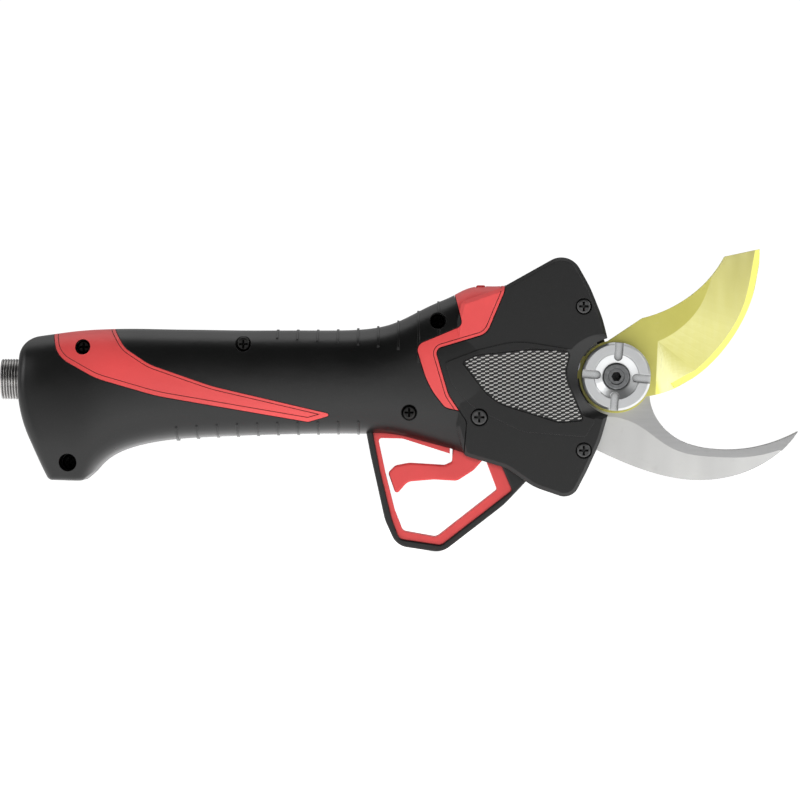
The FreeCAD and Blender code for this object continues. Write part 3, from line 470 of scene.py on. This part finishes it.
def badge(side):
    """Silver mesh in the head cover: a black plate with rows of crowned strands."""
    out = -1 if side == "left" else 1
    node = side + "_badge_mesh"
    low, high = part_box(node)
    face = (low.y if out < 0 else high.y) / MM
    silver = metal(side + "_badge_silver", (0.80, 0.79, 0.77), 0.32, scratch=0.15)

    covered = face_finder(node)
    start_x, start_z = BADGE_START

    def strands(work):
        for row in range(int(BADGE_HEIGHT / PITCH_Z)):
            z = start_z + row * PITCH_Z
            for column in range(BADGE_COLUMNS):
                x = start_x + (column + 0.5 * (row % 2)) * PITCH_X
                steps = [x + STRAND_STEP * (i - STRAND_STEPS // 2) for i in range(STRAND_STEPS)]
                shown = [s for s in steps if covered(s, z - 0.25) and covered(s, z + 0.25)]
                if len(shown) > 5:
                    half = (shown[-1] - shown[0]) / 2
                    middle = (shown[-1] + shown[0]) / 2
                    lozenge(work, middle, z, face - out * 0.05, out, half, STRAND_HALF_Z,
                            STRAND_RISE, STRAND_SLANT)
        bmesh.ops.recalc_face_normals(work, faces=work.faces)

    piece = mesh_object(side + "_badge_strands", strands, "body", silver)
    slots = nodes[node].data.materials
    slots.clear()
    slots.append(part_black)
    return piece


# ------------------------------------------------------------------ painted shade: dark strip behind the cover's seam

def seam_shade_strip(side):
    """Flat dark strip inside the housing, along the joint of the head cover and the handle: painted shade
    that keeps the seam dark.
    """
    out = -1 if side == "left" else 1
    near, far = (out * y for y in SHADE_STRIP_Y)

    def strip(work):
        rows = []
        for i, (x, z) in enumerate(SEAM_LINE):
            x0, z0 = SEAM_LINE[max(i - 1, 0)]
            x1, z1 = SEAM_LINE[min(i + 1, len(SEAM_LINE) - 1)]
            side_way = Vector((z1 - z0, 0, x0 - x1)).normalized() * SHADE_STRIP_HALF
            row = []
            for across, y in ((-1, near), (1, near), (1, far), (-1, far)):
                row.append(work.verts.new((Vector((x, y, z)) + side_way * across) * MM))
            rows.append(row)
        for a, b in zip(rows, rows[1:]):
            for k in range(4):
                n = (k + 1) % 4
                work.faces.new((a[k], a[n], b[n], b[k]))
        work.faces.new(rows[0])
        work.faces.new(rows[-1])
        bmesh.ops.recalc_face_normals(work, faces=work.faces)

    return mesh_object(side + "_seam_shade_strip", strip, "body", seam_shade_black)


# ------------------------------------------------------------------ stage, light, camera

def glowing_floor():
    """White sweep with a painted glow: it emits light, strongest in a band along the tool and lighting it
    from below, and looks evenly white further out.
    """
    t = Tree("floor_white")
    parts = t.add("ShaderNodeSeparateXYZ")
    t.link(t.coord, parts.inputs[0])
    # painted light: the floor glows at 0.95 within 8 cm of the tool's line, fading to 0.70 beyond 30 cm
    glow = t.ramp(t.maths("ABSOLUTE", parts.outputs[1]), (0.08, 0.95), (0.3, 0.70))
    t.set(Base_Color=(0.9, 0.9, 0.9), Roughness=0.9, Specular_IOR_Level=0.1,
          Emission_Color=glow, Emission_Strength=1.0)
    return t.mat


def floor():
    low = cad_box[0]
    mesh = bpy.data.meshes.new("floor")
    half = FLOOR_HALF
    mesh.from_pydata([(-half, -half, 0), (half, -half, 0), (half, half, 0), (-half, half, 0)], [],
                     [(0, 1, 2, 3)])
    piece = bpy.data.objects.new("floor", mesh)
    piece.location.z = low[2] - FLOOR_DROP
    mesh.materials.append(glowing_floor())
    bpy.context.scene.collection.objects.link(piece)


def area_light(name, place, target, power):
    data = bpy.data.lights.new(name, "AREA")
    data.energy = power
    data.size = KEY_SIZE
    lamp = bpy.data.objects.new(name, data)
    lamp.location = place
    aim = Vector(target) - Vector(place)
    lamp.rotation_euler = aim.to_track_quat("-Z", "Y").to_euler()
    bpy.context.scene.collection.objects.link(lamp)


def studio():
    """White backdrop for the view; lit by a bright rear ceiling and a dim room in front."""
    world = bpy.data.worlds.new("studio")
    world.use_nodes = True
    nt = world.node_tree
    nt.nodes.clear()
    out = nt.nodes.new("ShaderNodeOutputWorld")
    mix = nt.nodes.new("ShaderNodeMixShader")
    path = nt.nodes.new("ShaderNodeLightPath")
    white = nt.nodes.new("ShaderNodeBackground")
    white.inputs[0].default_value = (1, 1, 1, 1)
    white.inputs[1].default_value = BACKDROP_STRENGTH
    room = nt.nodes.new("ShaderNodeBackground")
    where = nt.nodes.new("ShaderNodeTexCoord")
    parts = nt.nodes.new("ShaderNodeSeparateXYZ")
    span = nt.nodes.new("ShaderNodeMapRange")
    span.inputs["From Min"].default_value = -1.0
    nt.links.new(where.outputs["Generated"], parts.inputs[0])
    nt.links.new(parts.outputs[2], span.inputs["Value"])

    def light_by_height(*stops):
        ramp = nt.nodes.new("ShaderNodeValToRGB")
        while len(ramp.color_ramp.elements) < len(stops):
            ramp.color_ramp.elements.new(0.5)
        for element, (place, value) in zip(ramp.color_ramp.elements, stops):
            element.position = place
            element.color = (value, value, value, 1)
        nt.links.new(span.outputs[0], ramp.inputs[0])
        return ramp.outputs[0]

    front = light_by_height((0.0, 0.9), (0.49, 0.9), (0.50, 0.62), (0.53, 0.48), (0.57, 0.2),
                            (0.61, 0.05), (0.95, 0.03), (1.0, 0.3))
    rear = light_by_height((0.0, 0.9), (0.49, 0.9), (0.50, 0.6), (0.6, 0.4), (0.8, 0.45), (0.93, 1.0),
                           (1.0, 1.6))
    turn = nt.nodes.new("ShaderNodeMapRange")
    turn.inputs["From Min"].default_value = -0.03
    turn.inputs["From Max"].default_value = 0.1
    nt.links.new(parts.outputs[1], turn.inputs["Value"])
    blend = nt.nodes.new("ShaderNodeMix")
    blend.data_type = "RGBA"
    nt.links.new(turn.outputs[0], blend.inputs[0])
    nt.links.new(front, blend.inputs[6])
    nt.links.new(rear, blend.inputs[7])
    nt.links.new(blend.outputs[2], room.inputs[0])
    nt.links.new(path.outputs["Is Camera Ray"], mix.inputs[0])
    nt.links.new(room.outputs[0], mix.inputs[1])
    nt.links.new(white.outputs[0], mix.inputs[2])
    nt.links.new(mix.outputs[0], out.inputs[0])
    bpy.context.scene.world = world
    for row in KEY_LIGHTS:
        area_light(*row)


def camera():
    data = bpy.data.cameras.new("camera")
    data.sensor_width = 36.0
    data.lens = CAMERA_LENS
    cam = bpy.data.objects.new("camera", data)
    cam.location = CAMERA_PLACE
    cam.rotation_euler = (math.radians(90), 0, 0)
    bpy.context.scene.collection.objects.link(cam)
    bpy.context.scene.camera = cam


dress_nodes()
for side in ("left", "right"):
    badge(side)
    # painted-shade strip behind each cover seam
    seam_shade_strip(side)
floor()
studio()
camera()
bpy.context.scene.view_settings.view_transform = "Standard"
